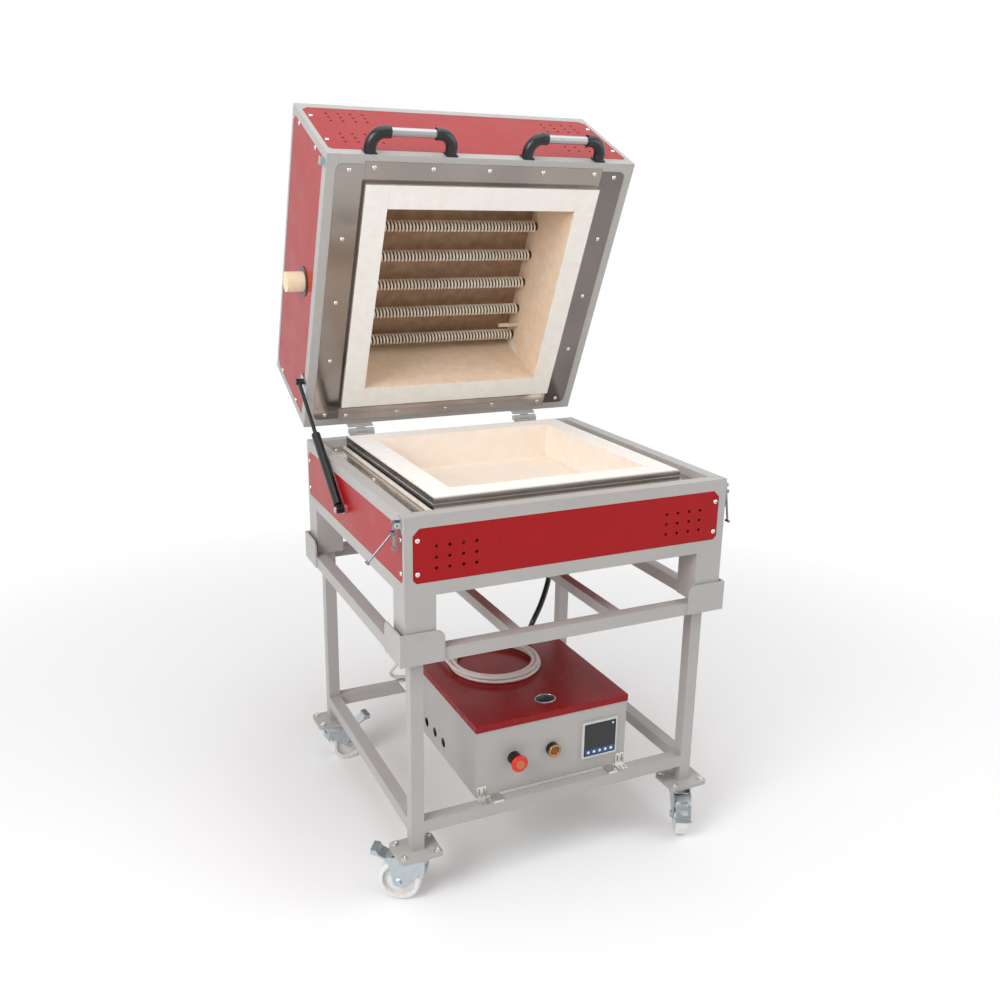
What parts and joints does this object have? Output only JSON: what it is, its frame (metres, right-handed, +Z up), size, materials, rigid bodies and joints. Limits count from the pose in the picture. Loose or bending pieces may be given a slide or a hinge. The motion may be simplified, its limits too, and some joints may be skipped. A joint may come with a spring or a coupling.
{
  "type": "bead annealing kiln",
  "caption": "Lid-up bead annealing kiln with fibre chamber, gas strut and side latches, standing on a wheeled steel stand that carries its control box.",
  "frame": {"origin": "on the floor, under the middle of the object's bounding box with its lid open", "axes": "+Z up, +Y towards the back where the hinges are, +X to the right of a user who stands in front"},
  "size_m": [0.9052, 1.0879, 1.7714],
  "materials": {
    "grey_paint": "satin powder coat",
    "red_paint": "fine textured powder coat",
    "stainless_sheet": "bright rolled stainless",
    "zinc_plate": "bright zinc plate",
    "fibre_board": "matte vacuum formed fibre",
    "heater_ceramic": "unglazed ceramic",
    "heating_wire": "oxidised resistance wire",
    "black_plastic": "satin",
    "black_enamel": "gloss black",
    "grip_aluminium": "satin anodised",
    "white_nylon": "moulded nylon",
    "white_cord": "smooth sheath",
    "red_plastic": "gloss",
    "device_plastic": "matte"
  },
  "bodies": {
    "frame": {"stand_legs": "grey_paint", "stand_cross_rails": "grey_paint", "stand_side_rails": "grey_paint", "corner_pockets": "grey_paint", "caster_plates": "zinc_plate", "control_box_supports": "zinc_plate", "control_box_body": "grey_paint", "control_box_lid": "red_paint", "cable_glands": "black_plastic", "temperature_controller": "black_plastic", "button_collars": "black_plastic", "control_gear": "device_plastic", "base_rails": "grey_paint", "kiln_corner_posts": "grey_paint", "base_panels": "red_paint", "base_floor_slab": "fibre_board", "base_wall_boards": "fibre_board", "base_deck_plates": "stainless_sheet", "base_fittings": "zinc_plate", "frame_fasteners": "zinc_plate", "conduit": "black_plastic", "mains_cord_lead": "white_cord", "mains_cord_coil": "white_cord", "mains_cord_tail": "white_cord", "mains_plug": "white_cord"},
    "lid": {"lid_rails": "grey_paint", "lid_posts": "grey_paint", "lid_panels": "red_paint", "lid_ring_plates": "stainless_sheet", "lid_wall_boards": "fibre_board", "lid_ceiling_slab": "fibre_board", "heating_tubes": "heater_ceramic", "heating_coils": "heating_wire", "thermocouple": "heater_ceramic", "handle_legs": "black_plastic", "handle_grips": "grip_aluminium", "lid_fittings": "zinc_plate", "lid_screws": "zinc_plate"},
    "vent_plug": {"vent_plug": "heater_ceramic"},
    "strut_cylinder_left": {"strut_cylinder_left": "black_enamel"},
    "strut_rod_left": {"strut_rod_left": "black_enamel"},
    "latch_lever_left": {"latch_lever_left": "zinc_plate"},
    "latch_lever_right": {"latch_lever_right": "zinc_plate"},
    "latch_hook_left": {"latch_hook_left": "zinc_plate"},
    "latch_hook_right": {"latch_hook_right": "zinc_plate"},
    "emergency_stop_button": {"emergency_stop_button": "red_plastic"},
    "start_button": {"start_button": "red_plastic"},
    "caster_fork_front_left": {"caster_fork_front_left": "zinc_plate"},
    "caster_wheel_front_left": {"caster_wheel_front_left": "white_nylon"},
    "caster_fork_front_right": {"caster_fork_front_right": "zinc_plate"},
    "caster_wheel_front_right": {"caster_wheel_front_right": "white_nylon"},
    "caster_fork_back_left": {"caster_fork_back_left": "zinc_plate"},
    "caster_wheel_back_left": {"caster_wheel_back_left": "white_nylon"},
    "caster_fork_back_right": {"caster_fork_back_right": "zinc_plate"},
    "caster_wheel_back_right": {"caster_wheel_back_right": "white_nylon"},
    "brake_pedal_front_left": {"brake_pedal_front_left": "zinc_plate"},
    "brake_pedal_back_left": {"brake_pedal_back_left": "zinc_plate"}
  },
  "joints": [
    {"name": "lid_hinge", "type": "hinge", "parent": "frame", "child": "lid", "pos_m": [0.0209, 0.25123, 0.95], "axis": [1, 0, 0], "range_deg": [0, 66]},
    {"name": "strut_swing_left", "type": "hinge", "parent": "frame", "child": "strut_cylinder_left", "pos_m": [-0.3911, -0.09077, 0.842], "axis": [1, 0, 0], "range_deg": [0, 2.07]},
    {"name": "strut_slide_left", "type": "slide", "parent": "strut_cylinder_left", "child": "strut_rod_left", "axis": [0, 0.8073, 0.5902], "range_m": [-0.15513, 0]},
    {"name": "latch_lever_turn_left", "type": "hinge", "parent": "frame", "child": "latch_lever_left", "pos_m": [-0.3891, -0.48077, 0.921], "axis": [0, 1, 0], "range_deg": [0, 75]},
    {"name": "latch_hook_turn_left", "type": "hinge", "parent": "latch_lever_left", "child": "latch_hook_left", "pos_m": [-0.3971, -0.48077, 0.903], "axis": [0, 1, 0], "range_deg": [-35, 65]},
    {"name": "latch_lever_turn_right", "type": "hinge", "parent": "frame", "child": "latch_lever_right", "pos_m": [0.4309, -0.48077, 0.921], "axis": [0, -1, 0], "range_deg": [0, 75]},
    {"name": "latch_hook_turn_right", "type": "hinge", "parent": "latch_lever_right", "child": "latch_hook_right", "pos_m": [0.4389, -0.48077, 0.903], "axis": [0, -1, 0], "range_deg": [0, 100]},
    {"name": "vent_plug_slide", "type": "slide", "parent": "lid", "child": "vent_plug", "axis": [-1, 0, 0], "range_m": [0, 0.1]},
    {"name": "emergency_stop_press", "type": "slide", "parent": "frame", "child": "emergency_stop_button", "axis": [0, 1, 0], "range_m": [0, 0.004], "stiffness_N_per_m": 1500},
    {"name": "start_press", "type": "slide", "parent": "frame", "child": "start_button", "axis": [0, 1, 0], "range_m": [0, 0.003], "stiffness_N_per_m": 600},
    {"name": "swivel_front_left", "type": "hinge", "parent": "frame", "child": "caster_fork_front_left", "pos_m": [-0.3431, -0.45977, 0.118], "axis": [0, 0, 1], "continuous": true},
    {"name": "wheel_turn_front_left", "type": "hinge", "parent": "caster_fork_front_left", "child": "caster_wheel_front_left", "pos_m": [-0.37423, -0.43797, 0.05], "axis": [-0.5736, -0.8192, 0], "continuous": true},
    {"name": "brake_press_front_left", "type": "hinge", "parent": "caster_fork_front_left", "child": "brake_pedal_front_left", "pos_m": [-0.38652, -0.42937, 0.108], "axis": [-0.5736, -0.8192, 0], "range_deg": [0, 10], "stiffness_Nm_per_rad": 4},
    {"name": "swivel_front_right", "type": "hinge", "parent": "frame", "child": "caster_fork_front_right", "pos_m": [0.3849, -0.45977, 0.118], "axis": [0, 0, 1], "continuous": true},
    {"name": "wheel_turn_front_right", "type": "hinge", "parent": "caster_fork_front_right", "child": "caster_wheel_front_right", "pos_m": [0.36706, -0.49332, 0.05], "axis": [0.8829, -0.4695, 0], "continuous": true},
    {"name": "swivel_back_left", "type": "hinge", "parent": "frame", "child": "caster_fork_back_left", "pos_m": [-0.3431, 0.19823, 0.118], "axis": [0, 0, 1], "continuous": true},
    {"name": "wheel_turn_back_left", "type": "hinge", "parent": "caster_fork_back_left", "child": "caster_wheel_back_left", "pos_m": [-0.30525, 0.20154, 0.05], "axis": [-0.0872, 0.9962, 0], "continuous": true},
    {"name": "brake_press_back_left", "type": "hinge", "parent": "caster_fork_back_left", "child": "brake_pedal_back_left", "pos_m": [-0.2903, 0.20285, 0.108], "axis": [-0.0872, 0.9962, 0], "range_deg": [0, 10], "stiffness_Nm_per_rad": 4},
    {"name": "swivel_back_right", "type": "hinge", "parent": "frame", "child": "caster_fork_back_right", "pos_m": [0.3849, 0.19823, 0.118], "axis": [0, 0, 1], "continuous": true},
    {"name": "wheel_turn_back_right", "type": "hinge", "parent": "caster_fork_back_right", "child": "caster_wheel_back_right", "pos_m": [0.34919, 0.18523, 0.05], "axis": [0.342, -0.9397, 0], "continuous": true}
  ],
  "couplings": [
    {"joint": "strut_swing_left", "follows": "lid_hinge", "ratio": 0.031229},
    {"joint": "strut_slide_left", "follows": "lid_hinge", "m_per_rad": -0.13458}
  ]
}
